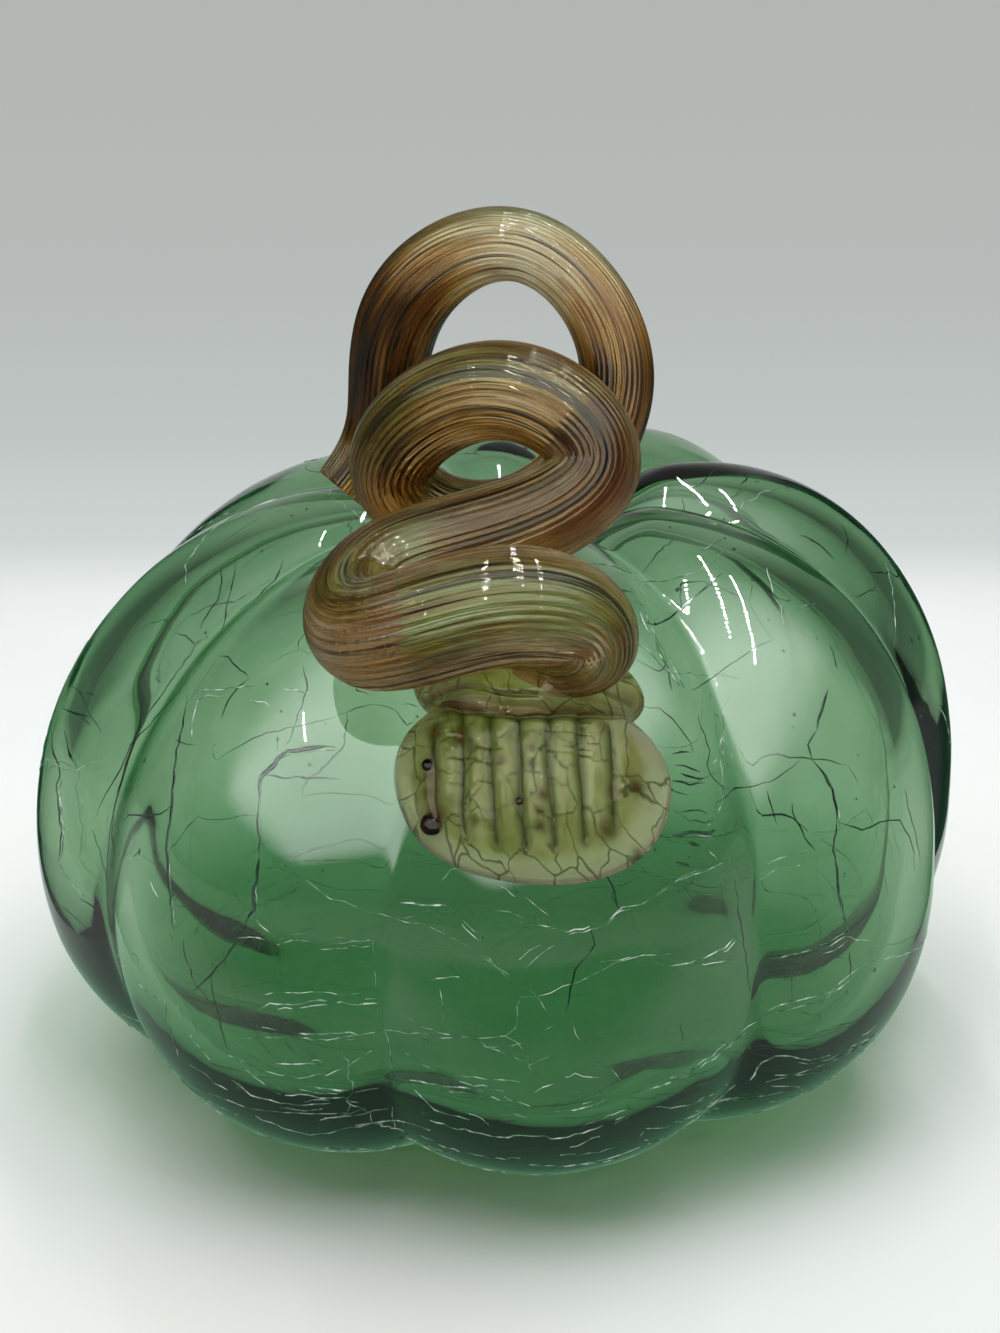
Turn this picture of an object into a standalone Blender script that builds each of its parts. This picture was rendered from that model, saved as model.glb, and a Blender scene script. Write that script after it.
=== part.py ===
"""Glass pumpkin: a blown, lobed shell with a curled glass stem pressed onto its front shoulder.

Metres, +Z up. The stem side faces -Y and the shell stands on z = 0.
"""
import math

import bmesh
import bpy
import numpy as np
from mathutils import Matrix, Vector
from mathutils.bvhtree import BVHTree

for old in list(bpy.data.objects):
    bpy.data.objects.remove(old, do_unlink=True)

# Shell: overall sizes
BODY_RADIUS = 0.0755
BELLY_HEIGHT = 0.042
CROWN_HEIGHT = 0.098
WALL = 0.0042

# Shell: shape of the profile, as shares of the sizes above
CROWN_RADIUS = 0.33 * BODY_RADIUS
POLE_HEIGHT = CROWN_HEIGHT - 0.145 * BODY_RADIUS
FOOT_RADIUS = 0.44 * BODY_RADIUS
HOLE_RADIUS = 0.10 * BODY_RADIUS
SHOULDER_POWER = 0.98
LOWER_POWER = 0.88
LEAN = 0.053 * BODY_RADIUS

# Shell: uneven hand-made lobes, groove bearings in degrees from the front towards +X
GROOVES = (-13.5, 33.0, 79.0, 124.0, 169.0, 214.0, 257.0, 301.0)
SWELL = (1.0, 1.0, 1.02, 1.01, 0.99, 0.985, 1.0, 1.0)
GROOVE_DEPTH = 0.085
LOBE_POWER = 0.8
LOBE_STEPS = 8

# Stem: rod, pad and the clear gap kept between pieces that touch
ROD_RADIUS = 0.0085
SEAT_GAP = 0.0003
PAD_BEARING = 4.5
PAD_SHARE = 0.643
PAD_HALF_WIDTH = 2.26 * ROD_RADIUS
PAD_HALF_HEIGHT = 2.10 * ROD_RADIUS
PAD_DOME = 0.95 * ROD_RADIUS
PAD_SUNK = 0.47 * ROD_RADIUS
NECK_HALF_WIDTH = 1.75 * ROD_RADIUS
NECK_HALF_HEIGHT = 1.10 * ROD_RADIUS
NECK_OUT = 1.10 * ROD_RADIUS
ROD_SIDES_EXTRA = 5
ROD_RINGS_PER_SPAN = 7

# Stem route from the pad, a quarter turn or less apart: across, away, up and thickness in rod radii
ROUTE = (
    (0.69, -0.06, 2.51, 0.86),   # right end, lying on the neck
    (-0.87, -0.31, 2.74, 1.00),  # front strand
    (-2.67, 0.18, 2.16, 0.94),   # first fold, front
    (-2.44, 1.74, 2.63, 0.86),   # first fold, back
    (-0.33, 2.03, 3.30, 0.83),   # strand behind the front one
    (1.08, 2.55, 4.40, 0.78),    # right bend
    (-0.65, 3.15, 5.39, 0.84),   # upper strand
    (-2.37, 3.72, 3.78, 0.76),   # left bend
    (-0.31, 3.83, 2.92, 0.69),   # rear strand, low on the crown
    (1.51, 4.67, 5.13, 0.64),    # top loop, right
    (-0.05, 5.40, 7.31, 0.62),   # top loop, crest
    (-2.16, 5.71, 6.27, 0.74),   # top loop, left
    (-2.66, 5.76, 4.15, 0.62),   # coming down
    (-3.40, 5.46, 2.87, 0.49),   # sheared tail
)

PARTS = bpy.data.collections.new("glass_pumpkin")
CUTTERS = bpy.data.collections.new("glass_pumpkin_cutters")
bpy.context.scene.collection.children.link(PARTS)
bpy.context.scene.collection.children.link(CUTTERS)


def smooth(t):
    """Ease from 0 to 1."""
    t = min(max(t, 0.0), 1.0)
    return t * t * (3.0 - 2.0 * t)


def finish(name, red, green, blue, roughness):
    """A Principled glass finish."""
    mat = bpy.data.materials.new(name)
    mat.use_nodes = True
    bsdf = mat.node_tree.nodes["Principled BSDF"]
    bsdf.inputs["Base Color"].default_value = (red, green, blue, 1.0)
    bsdf.inputs["Roughness"].default_value = roughness
    bsdf.inputs["Metallic"].default_value = 0.0
    bsdf.inputs["Transmission Weight"].default_value = 1.0
    return mat


def place(name, data, collection):
    """Put a mesh or curve into the scene under its own name."""
    ob = bpy.data.objects.new(name, data)
    collection.objects.link(ob)
    if collection == CUTTERS:
        ob.hide_render = True
        ob.display_type = "WIRE"
    return ob


def baked(ob):
    """The object's mesh with its modifiers worked in."""
    bpy.context.view_layer.update()
    graph = bpy.context.evaluated_depsgraph_get()
    return bpy.data.meshes.new_from_object(ob.evaluated_get(graph))


def profile(hole):
    """Radius and height from the hole in the sunken crown over the shoulder and belly down to the foot."""
    line = []
    start = hole / CROWN_RADIUS
    for i in range(4):
        t = start + (1.0 - start) * i / 4
        dip = (1.0 - math.cos(math.pi * t)) / 2.0
        line.append((CROWN_RADIUS * t, POLE_HEIGHT + (CROWN_HEIGHT - POLE_HEIGHT) * dip))
    for i in range(9):
        t = math.pi / 2 * (1.0 - i / 9)
        out = (BODY_RADIUS - CROWN_RADIUS) * math.cos(t) ** SHOULDER_POWER
        rise = (CROWN_HEIGHT - BELLY_HEIGHT) * math.sin(t) ** SHOULDER_POWER
        line.append((CROWN_RADIUS + out, BELLY_HEIGHT + rise))
    for i in range(9):
        t = math.pi / 2 * i / 8
        out = (BODY_RADIUS - FOOT_RADIUS) * max(math.cos(t), 0.0) ** LOWER_POWER
        drop = BELLY_HEIGHT * math.sin(t) ** LOWER_POWER
        line.append((FOOT_RADIUS + out, BELLY_HEIGHT - drop))
    line.append((0.0, 0.0))
    return line


def lobed(r, z, turn):
    """Move a point of the turned skin onto the lobes; turn runs 0 to 1 from the first groove."""
    count = len(GROOVES)
    lobe = int(turn * count + 1e-6) % count
    share = turn * count - int(turn * count + 1e-6)
    start = GROOVES[lobe]
    width = (GROOVES[(lobe + 1) % count] - start) % 360.0
    bearing = math.radians(start + share * width)
    crest = max(math.sin(math.pi * share), 0.0)
    swell = 1.0 + (SWELL[lobe] - 1.0) * crest ** 2
    scale = swell * (1.0 - GROOVE_DEPTH * (1.0 - crest ** LOBE_POWER))
    if z < BELLY_HEIGHT:
        weight = smooth((r - FOOT_RADIUS) / (BODY_RADIUS - FOOT_RADIUS) / 0.5)
    else:
        weight = smooth(r / CROWN_RADIUS)
    scale = 1.0 + (scale - 1.0) * weight
    height = BELLY_HEIGHT + (z - BELLY_HEIGHT) * scale
    up = max((height - BELLY_HEIGHT) / (CROWN_HEIGHT - BELLY_HEIGHT), 0.0)
    x = r * scale * math.sin(bearing) + LEAN * up ** 1.5
    return Vector((x, -r * scale * math.cos(bearing), height))


def skin(name, hole, grow):
    """The lobed outer skin: a screwed profile with its rings moved out to the lobes."""
    line = profile(hole)
    mesh = bpy.data.meshes.new(name)
    mesh.from_pydata([(r, 0.0, z) for r, z in line], [(i, i + 1) for i in range(len(line) - 1)], [])
    turned = place(name + "_profile", mesh, CUTTERS)
    screw = turned.modifiers.new("turn", "SCREW")
    screw.axis = "Z"
    screw.angle = math.tau
    screw.steps = LOBE_STEPS * len(GROOVES)
    screw.render_steps = LOBE_STEPS * len(GROOVES)
    screw.use_merge_vertices = True
    screw.merge_threshold = 0.00005
    mesh = baked(turned)
    bpy.data.objects.remove(turned, do_unlink=True)
    steps = LOBE_STEPS * len(GROOVES)
    for v in mesh.vertices:
        turn = round(math.atan2(v.co.y, v.co.x) / math.tau * steps) % steps / steps
        v.co = lobed(math.hypot(v.co.x, v.co.y), v.co.z, turn)
    bm = bmesh.new()
    bm.from_mesh(mesh)
    bmesh.ops.recalc_face_normals(bm, faces=bm.faces)
    top = max(bm.faces, key=lambda f: f.calc_center_median().z)
    if top.normal.z < 0.0:
        bmesh.ops.reverse_faces(bm, faces=bm.faces)
    bm.normal_update()
    moves = [(v, v.normal * grow) for v in bm.verts]
    for v, move in moves:
        v.co += move
    bm.to_mesh(mesh)
    bm.free()
    return mesh


def spline(stations, per_span):
    """Natural cubic through the stations, with unit steps between them."""
    pts = np.array(stations)
    count = len(pts)
    left = np.eye(count) * 4.0 + np.eye(count, k=1) + np.eye(count, k=-1)
    left[0] = np.eye(count)[0]
    left[-1] = np.eye(count)[-1]
    right = np.zeros_like(pts)
    right[1:-1] = 6.0 * (pts[2:] - 2.0 * pts[1:-1] + pts[:-2])
    bend = np.linalg.solve(left, right)
    u = np.linspace(0.0, count - 1.0, per_span * (count - 1) + 1)
    k = np.clip(u.astype(int), 0, count - 2)
    c = (u - k)[:, None]
    a = 1.0 - c
    return a * pts[k] + c * pts[k + 1] + ((a ** 3 - a) * bend[k] + (c ** 3 - c) * bend[k + 1]) / 6.0


def rounded_end(line, rings):
    """Lead the first point of the route off into a domed end."""
    first = line[0]
    ahead = line[1, :3] - first[:3]
    ahead = ahead / np.linalg.norm(ahead)
    dome = []
    for i in range(rings):
        angle = math.pi / 2 * (i + 0.6) / rings
        back = first[3] * math.cos(angle) * 0.7
        dome.append(np.append(first[:3] - ahead * back, first[3] * math.sin(angle)))
    return np.vstack([np.array(dome), line])


def rod(name, line, grow, collection):
    """A swept rod along the route, closed at both ends."""
    curve = bpy.data.curves.new(name + "_route", "CURVE")
    curve.dimensions = "3D"
    curve.bevel_depth = 1.0
    curve.bevel_resolution = ROD_SIDES_EXTRA
    curve.use_fill_caps = True
    path = curve.splines.new("POLY")
    path.points.add(len(line) - 1)
    for point, (x, y, z, r) in zip(path.points, line):
        point.co = (x, y, z, 1.0)
        point.radius = r + grow
    swept = place(name + "_route", curve, CUTTERS)
    mesh = baked(swept)
    bpy.data.objects.remove(swept, do_unlink=True)
    bm = bmesh.new()
    bm.from_mesh(mesh)
    bmesh.ops.remove_doubles(bm, verts=bm.verts, dist=0.000005)
    bmesh.ops.recalc_face_normals(bm, faces=bm.faces)
    bm.to_mesh(mesh)
    bm.free()
    mesh.name = name
    return place(name, mesh, collection)


def egg(name, centre, frame, across, up, out):
    """A ball stretched along the pad's own directions."""
    mesh = bpy.data.meshes.new(name)
    bm = bmesh.new()
    bmesh.ops.create_uvsphere(bm, u_segments=24, v_segments=14, radius=1.0)
    stretch = Matrix.Diagonal((across, up, out, 1.0))
    bmesh.ops.transform(bm, matrix=Matrix.Translation(centre) @ frame @ stretch, verts=bm.verts)
    bm.to_mesh(mesh)
    bm.free()
    return mesh


def cut(ob, other, operation):
    """Exact Boolean with another object."""
    step = ob.modifiers.new(operation.lower(), "BOOLEAN")
    step.operation = operation
    step.solver = "EXACT"
    step.object = other


# Shell: the skin thickened inwards, open at the blowing hole in the crown
shell_mesh = skin("body_shell", HOLE_RADIUS, 0.0)
outer = BVHTree.FromPolygons([v.co.copy() for v in shell_mesh.vertices],
                             [tuple(f.vertices) for f in shell_mesh.polygons])
shell = place("body_shell", shell_mesh, PARTS)
thick = shell.modifiers.new("wall", "SOLIDIFY")
thick.thickness = WALL
thick.offset = -1.0
thick.use_even_offset = True
shell.data.materials.append(finish("green_crackle_glass", 0.16, 0.42, 0.26, 0.04))

# Solid twin of the skin, grown by the gap, that shapes the underside of the pad
body_form = place("body_form", skin("body_form", 0.0, SEAT_GAP), CUTTERS)

# Pad seat on the front shoulder: point, outward normal and the way up along the glass
bearing = math.radians(PAD_BEARING)
aim = BELLY_HEIGHT + PAD_SHARE * (CROWN_HEIGHT - BELLY_HEIGHT)
start = Vector((3.0 * BODY_RADIUS * math.sin(bearing), -3.0 * BODY_RADIUS * math.cos(bearing), aim))
seat, normal, _, _ = outer.ray_cast(start, Vector((-math.sin(bearing), math.cos(bearing), 0.0)))
across = Vector((0.0, 0.0, 1.0)).cross(normal).normalized()
upward = normal.cross(across).normalized()
pad_frame = Matrix((across, upward, normal)).transposed().to_4x4()

# Curl: the route from the seat, set down until it rests the gap above the shell
route = spline(ROUTE, ROD_RINGS_PER_SPAN) * ROD_RADIUS
route[:, :3] += np.array(seat)
for _ in range(12):
    rooms = []
    for x, y, z, r in route:
        near, face, _, _ = outer.find_nearest(Vector((x, y, z)))
        side = 1.0 if (Vector((x, y, z)) - near).dot(face) > 0.0 else -1.0
        rooms.append(side * (Vector((x, y, z)) - near).length - r)
    route[:, 2] += 2.0 * SEAT_GAP - min(rooms)
route = rounded_end(route, 4)
curl = rod("stem_curl", route, 0.0, PARTS)
curl.data.materials.append(finish("amber_fluted_glass", 0.34, 0.25, 0.12, 0.08))
curl_form = rod("curl_form", route, SEAT_GAP, CUTTERS)

# Pad: a flat dome and the neck above it, cut to lie on the shell and under the curl
pad_mesh = egg("stem_pad", seat - normal * PAD_SUNK, pad_frame, PAD_HALF_WIDTH, PAD_HALF_HEIGHT, PAD_DOME)
pad = place("stem_pad", pad_mesh, PARTS)
neck_at = seat + upward * (PAD_HALF_HEIGHT * 0.68) + normal * (PAD_DOME * 0.3)
neck_mesh = egg("neck_form", neck_at, pad_frame, NECK_HALF_WIDTH, NECK_HALF_HEIGHT, NECK_OUT)
neck_form = place("neck_form", neck_mesh, CUTTERS)
cut(pad, neck_form, "UNION")
cut(pad, body_form, "DIFFERENCE")
cut(pad, curl_form, "DIFFERENCE")
pad.data.materials.append(finish("pale_olive_glass", 0.48, 0.47, 0.27, 0.06))
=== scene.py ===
"""Looks of the glass pumpkin: blown crackle shell, pressed stem pad and drawn, curled stem.

Metres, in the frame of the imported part: +Z up, the stem side towards -Y.
"""
import math
import random
from functools import partial

import bmesh
import bpy
import numpy as np
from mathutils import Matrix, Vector, noise
from mathutils.bvhtree import BVHTree
from mathutils.geometry import delaunay_2d_cdt


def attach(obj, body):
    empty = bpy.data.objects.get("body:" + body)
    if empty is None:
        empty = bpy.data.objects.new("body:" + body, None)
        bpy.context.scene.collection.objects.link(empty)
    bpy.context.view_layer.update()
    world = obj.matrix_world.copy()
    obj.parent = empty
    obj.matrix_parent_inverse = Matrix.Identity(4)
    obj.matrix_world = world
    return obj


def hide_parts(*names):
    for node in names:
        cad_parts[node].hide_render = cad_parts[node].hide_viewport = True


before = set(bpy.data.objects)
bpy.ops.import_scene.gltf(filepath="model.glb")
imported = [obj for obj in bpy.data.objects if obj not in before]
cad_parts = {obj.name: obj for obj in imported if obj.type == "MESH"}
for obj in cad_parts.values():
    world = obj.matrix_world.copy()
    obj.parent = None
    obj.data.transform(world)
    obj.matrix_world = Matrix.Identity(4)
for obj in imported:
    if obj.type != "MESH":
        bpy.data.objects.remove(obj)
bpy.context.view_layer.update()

MM = 0.001

# Shell: the same sizes as the part's source
BODY_RADIUS = 75.5 * MM
BELLY_HEIGHT = 42.0 * MM
CROWN_HEIGHT = 98.0 * MM
CROWN_RADIUS = 0.33 * BODY_RADIUS
POLE_HEIGHT = CROWN_HEIGHT - 0.145 * BODY_RADIUS
FOOT_RADIUS = 0.44 * BODY_RADIUS
HOLE_RADIUS = 0.10 * BODY_RADIUS
SHOULDER_POWER = 0.98
LOWER_POWER = 0.88
LEAN = 0.053 * BODY_RADIUS
GROOVES = np.array((-13.5, 33.0, 79.0, 124.0, 169.0, 214.0, 257.0, 301.0))
SWELL = np.array((1.0, 1.0, 1.02, 1.01, 0.99, 0.985, 1.0, 1.0))
GROOVE_DEPTH = 0.085
# how far the bottom of each groove is rounded, and how much more on the inner skin
GROOVE_SOFT = np.array((0.08, 0.08, 0.10, 0.26, 0.28, 0.28, 0.26, 0.10))
INNER_SOFTER = np.array((0.20, 0.20, 0.20, 0.06, 0.06, 0.06, 0.06, 0.20))
LOBE_POWER = 0.8
WALL_TOP = 4.2 * MM
WALL_FOOT = 10.0 * MM

# The photograph's view: its frame and lens in pixels, where the eye is and how far it looks down
FRAME_WIDE, FRAME_HIGH, LENS_PIXELS = 1000.0, 1333.0, 3000.0
EYE = np.array((0.5, -452.2, 248.3)) * MM
LOOK_DOWN = math.radians(21.91)

# Cracks of the front, drawn as points x,y in that frame.
# D dark and bold, d dark and fine, W pale and bold, w pale and fine; h, a hairline, is left to chance
# the dark of a crack is painted dark reflection of its faces, and the pale is painted glint
CRACKS = """
d 303,665 307,690 296,722 286,745
D 335,747 305,749 287,751 278,758 262,776 259,790 258,808
d 258,808 257,820 260,840 259,858
D 259,858 257,880 253,897 254,910 247,920
d 247,920 236,940 224,960 211,975 197,988 188,993
d 211,975 213,995 217,1010 221,1030 228,1050
D 187,695 183,720 180,735 176,750 174,770 172,790 172,805 168,830 166,850 168,880 170,905 174,930
d 122,820 128,815 145,816 160,814 172,805
D 50,720 52,745 60,775 56,785 58,805 62,830 60,850 58,862
w 58,862 70,880 85,897
d 70,685 82,695 90,715 101,733
d 62,708 80,715 90,725
d 200,640 185,660 165,690 150,710 135,735
d 205,655 180,690 150,725 130,745 117,775 105,795 97,815
d 132,745 125,765 118,790 112,830 114,870
d 220,565 222,580 218,600 207,615 200,630
d 235,560 232,585 228,600 222,630
d 283,560 275,580 260,595 240,610
w 200,690 215,690 250,686 275,688 310,693
w 192,735 194,715 198,700 208,695 222,697
d 262,776 290,778 300,777 325,778 340,778
w 250,700 265,702 275,712 278,730 277,750
W 236,938 250,937 265,940 277,945 292,940 310,942 330,944 345,943 370,940
w 255,918 260,925 275,937
w 258,995 275,992 300,993 320,992 345,995 360,993
W 256,1010 270,1003 300,1004 320,1000 350,1004 378,1003
W 262,1027 290,1030 305,1034 330,1033 350,1032 362,1037
w 245,1038 280,1037 320,1039 360,1038
W 270,1063 290,1064 310,1063 322,1066
w 228,1055 245,1062 258,1070 280,1075 300,1078 325,1073
w 247,1070 262,1082 275,1092 285,1096
W 232,1080 245,1090 260,1098 280,1103 305,1105 330,1103
W 285,1095 300,1094 320,1098 345,1097 365,1106
w 255,1115 270,1122 290,1130 310,1135 330,1133 350,1127 370,1124
w 118,955 130,975 145,990 160,1000
w 165,1000 165,1020 172,1035 177,1050 182,1062
w 178,1005 190,1035 210,1060 220,1075
w 190,1065 210,1078 228,1090 238,1105
d 183,940 186,960 192,978 200,990 208,1000
w 130,860 138,852 150,880 158,897
w 320,1078 345,1068 360,1058 372,1050
W 310,1085 330,1089 350,1090 370,1085 385,1081
w 320,1120 345,1115 365,1108
w 325,1148 350,1150 375,1150 395,1146
W 397,903 420,905 445,905 460,915 470,928 480,936
w 405,918 430,910 450,912 465,922 475,932
w 480,936 485,955 495,966 515,978 530,990 540,1000 547,1012 560,1020
w 525,897 535,905 548,915
W 520,922 540,925 555,926 568,932 590,926 600,925 620,911 640,908 660,893 680,880 700,873 722,863
w 492,910 510,912 525,920
W 519,960 530,950 540,945
w 525,970 540,955 555,945
w 430,980 445,978 460,977
w 410,1018 425,1028 440,1033 460,1036 480,1041 486,1047 510,1046 530,1040 545,1030 560,1020
w 486,1047 505,1053 520,1060 530,1065 545,1058 555,1052
w 406,1053 420,1063 435,1070 460,1075 490,1080 520,1082
W 410,1080 430,1084 460,1087 490,1092 510,1100 530,1106
W 415,1090 425,1100 435,1110 450,1115 470,1120 490,1130
W 430,1120 450,1127 480,1133 500,1137 530,1136 560,1138 590,1130 610,1122 630,1115
w 420,1135 440,1145 460,1152 490,1158 520,1158
W 555,1111 575,1110 590,1106 605,1100
w 535,1092 550,1085 565,1077 575,1073 590,1077 610,1075
W 595,1064 610,1068 620,1080 628,1092 640,1091 660,1086 680,1078 700,1068 720,1053 735,1040 745,1033
w 570,1020 580,1040
d 590,925 595,945 575,970 570,990 565,1015
w 373,940 374,970 376,1000 380,1020 390,1045 392,1065 395,1090 392,1115 395,1130
w 442,880 450,870 458,868
w 500,886 510,893 517,897
W 500,1115 515,1114 528,1117
w 560,1155 580,1155 600,1152 615,1147
w 570,1147 585,1142 600,1136
w 440,990 443,1005 443,1020
w 600,962 620,960 640,954 655,962 670,966
W 670,966 690,963 710,955 725,948 737,935
w 690,965 720,962 738,960
W 770,958 790,955 810,950 830,946 845,936
W 765,1012 780,1005 800,1000 820,995 840,988 850,980
W 750,1080 762,1062 775,1056 790,1056 810,1060 830,1055 850,1047 870,1038 880,1028
D 835,860 838,885 842,905 846,925
w 845,936 856,940 870,941
w 775,1075 800,1075 825,1070
w 770,1086 790,1086 812,1090
W 680,1122 700,1112 720,1098 735,1085
w 650,1107 670,1108 690,1105 710,1095 722,1082
d 605,870 612,885 616,900 621,911
w 640,1128 660,1128 680,1121
d 850,952 851,965 850,978
d 640,622 655,625 670,618 685,605 700,592 712,582 722,573
W 640,612 650,635 660,655 675,680 690,698
w 645,612 660,645 672,665 684,688
d 690,690 700,686 712,678 725,668 745,655 760,645 773,640
d 640,705 660,708 672,718 685,735 693,752
d 672,754 690,752
d 698,715 705,735 710,750 707,765 715,780 728,790
d 715,803 728,795 735,788 755,786 770,782 785,772 800,760
D 828,690 822,710 817,730
d 817,730 808,745 812,760
D 812,760 825,775 833,790 836,805 837,822
d 837,822 834,840 833,850 836,862
d 837,822 850,826 862,830 880,822 900,820 905,830 912,845 915,870
d 792,803 796,820 805,838 815,850
d 767,790 772,808 777,825
d 675,765 690,768 700,772
d 672,780 690,785 705,783
d 672,790 688,795
d 680,812 700,810 708,814
D 672,835 690,832 710,834 715,830
D 688,842 700,846
D 676,862 690,866
d 690,820 705,823 712,821
d 680,773 692,777 704,778
w 762,868 780,858 800,852 815,850
w 760,880 775,870 800,865
d 830,645 835,660 838,668
d 720,450 714,470 700,485 688,488
d 800,535 820,545 835,560
d 842,525 848,540 845,555
d 905,790 915,830 920,860
d 735,880 738,905 742,930 746,960 750,990
d 655,640 668,668 672,690
w 800,608 815,604
w 700,550 712,545 722,540
d 60,905 72,915 85,928
d 92,830 100,850 106,880
"""

# how the drawn lines are cut up: pixels between points, how far each strays, points in a glint, breaks
PIXEL_STEP, PIXEL_STRAY, GLINT_POINTS, GLINT_BREAKS = 7.0, 1.4, (3, 9), 0.45
# a longer step than this between neighbouring points means that the line went on to another lobe
LOBE_JUMP = 6.0 * MM
# cracks left to chance: the girth they are laid out on, cells of the skin and glints at the foot
ROUND_MM, BACK_CELLS, FOOT_GLINTS = 400.0, 170, 230
# a cell's side: its least and greatest length, its step, and the shares of sides left out and cut short
SIDE_LEAST, SIDE_MOST, SIDE_STEP, SIDES_LOST, SIDES_SHORT = 3.0, 70.0, 1.6, 0.16, 0.22
# roughly from the piece to the photograph's eye
TO_EYE = np.array((0.0, -0.93, 0.37))
# how far the lips of dark and pale cracks stand out of the skin, and how far all are sunk into it
DARK_PROUD, PALE_PROUD, LIP_SINK = 0.03 * MM, 0.09 * MM, 0.05 * MM
# seed bubbles: how many, rings and sides of each, and how far each is drawn out
SEEDS, SEED_RINGS, SEED_SIDES, SEED_DRAWN = 170, 5, 8, 1.25
# least and greatest width of each kind in millimetres
CRACK_WIDE = {"D": (0.48, 0.66), "d": (0.20, 0.30), "W": (0.17, 0.25), "w": (0.08, 0.13), "h": (0.05, 0.08)}

# Stem: rod radius, where the pad sits and the route of the rod from there, in rod radii
ROD_RADIUS = 8.5 * MM
STEM_SEAT = np.array((4.97, -63.19, 78.11)) * MM
ROUTE = np.array((
    (0.69, -0.06, 2.51, 0.86),
    (-0.87, -0.31, 2.74, 1.00),
    (-2.67, 0.18, 2.16, 0.94),
    (-2.44, 1.74, 2.63, 0.86),
    (-0.33, 2.03, 3.30, 0.83),
    (1.08, 2.55, 4.40, 0.78),
    (-0.65, 3.15, 5.39, 0.84),
    (-2.37, 3.72, 3.78, 0.76),
    (-0.31, 3.83, 2.92, 0.69),
    (1.51, 4.67, 5.13, 0.64),
    (-0.05, 5.40, 7.31, 0.62),
    (-2.16, 5.71, 6.27, 0.74),
    (-2.66, 5.76, 4.15, 0.62),
    (-3.40, 5.46, 2.87, 0.49),
))
# where the rod starts: a thin end tucked under the front strand, left out of the solid
TUCK = np.array((
    (-0.10, 0.35, 1.55, 0.30),
    (0.62, 0.10, 1.42, 0.36),
    (1.12, -0.05, 1.86, 0.55),
))
# flutes round the rod, points across each, their depth, the rod's slow swell and its waves in a metre
FLUTES, FLUTE_SIDES, FLUTE_DEPTH, ROD_WOBBLE, ROD_WAVES = 40, 8, 0.26 * MM, 0.35 * MM, 30.0
# rows of points between two places of the route, and in the domed start
ROD_STEPS, DOME_ROWS = 32, 14
# how smoky the amber is at each place of TUCK and then ROUTE, 0 clear to 1 nearly black
SMOKE = np.array((0.5, 0.5, 0.46, 0.46, 0.43, 0.64, 0.62, 0.44, 0.58, 0.66,
                  0.74, 0.52, 0.94, 0.20, 1.00, 0.98, 0.62))

# Pad: its own directions, then sizes and places in millimetres across and up from the seat
PAD_OUT = np.array((-0.163, -0.727, 0.667))
PAD_OUT /= np.linalg.norm(PAD_OUT)
PAD_ACROSS = np.cross((0.0, 0.0, 1.0), PAD_OUT)
PAD_ACROSS /= np.linalg.norm(PAD_ACROSS)
PAD_UP = np.cross(PAD_OUT, PAD_ACROSS)
PAD_CENTRE, PAD_WIDE, PAD_LOW, PAD_HIGH, PAD_THICK = (-0.3, -2.0), 19.6, 15.5, 12.5, 6.0
NECK_CENTRE, NECK_WIDE, NECK_HIGH, NECK_THICK = (-2.6, 10.6), 16.8, 8.4, 8.6
# how square the pad's outline is, 2 being an ellipse
PAD_POWER = 2.2
# pitch, slant and depth of the pad's ribs, pitch and depth of the neck's creases, depth where the two join
RIB_PITCH, RIB_SLANT, RIB_DEPTH, CREASE_PITCH, CREASE_DEPTH, JOIN_DEPTH = 4.2, 0.165, 0.7, 4.6, 1.1, 0.8
# the mesh: its middle above the seat, its lift off the skin, rings and spokes on top, rows underneath
PAD_MIDDLE, PAD_LIFT, PAD_RINGS, PAD_SPOKES, UNDER_ROWS = 1.6, 0.25, 150, 340, 11
# burst bubbles: across, up and radius
BUBBLES = ((-14.0, -3.5, 0.95), (-12.6, -11.4, 1.75), (0.0, -8.0, 0.6))
# a bubble's outline from its top to its underside: distance from its middle and height, in its radius
BUBBLE_SHAPE = ((0.001, 0.30), (0.25, 0.28), (0.5, 0.22), (0.75, 0.10), (0.92, -0.02), (1.0, -0.2),
                (0.9, -0.5), (0.5, -0.7), (0.001, -0.75))
BUBBLE_SIDES = 28
# brown burns: across, up, radius and depth
BURNS = ((-12.4, -10.4, 2.6, 1.0), (-13.8, -3.4, 1.5, 0.8), (-13.4, -5.4, 1.5, 1.0), (-13.2, -7.4, 1.6, 1.0),
         (15.3, -2.8, 1.3, 1.0), (12.4, -4.2, 0.8, 0.9), (12.1, -9.7, 1.4, 0.9), (16.0, -11.0, 0.7, 0.8),
         (3.2, -6.9, 1.0, 1.0), (3.0, -9.0, 0.8, 1.0), (3.2, -11.0, 1.1, 0.9), (1.3, -2.8, 0.8, 1.0),
         (1.1, -0.6, 0.7, 0.9), (-3.1, -2.8, 0.8, 0.9), (-9.7, 0.6, 1.5, 1.0), (-13.4, 1.3, 1.5, 1.0),
         (-11.6, 5.4, 2.4, 0.8), (12.5, 9.4, 2.0, 0.7), (0.0, -8.0, 1.0, 0.6), (-6.0, -11.0, 0.9, 0.8))

# Studio, in metres: the card sweep's wall, its bend, its front edge, top and half width
SWEEP_WALL, SWEEP_BEND, SWEEP_FRONT, SWEEP_TOP, SWEEP_HALF = 0.222, 0.035, -4.0, 0.9, 0.9
BEND_STEPS = 12
# where its shades begin and end: up the wall, back along the floor, up the bend, out of the painted green
# shadow under the piece
WALL_FADE, FLOOR_FADE, BEND_FADE, SHADOW_PAINT_FADE = (0.0, 0.14), (-0.10, 0.10), (0.0, 0.012), (0.075, 0.14)
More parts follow.
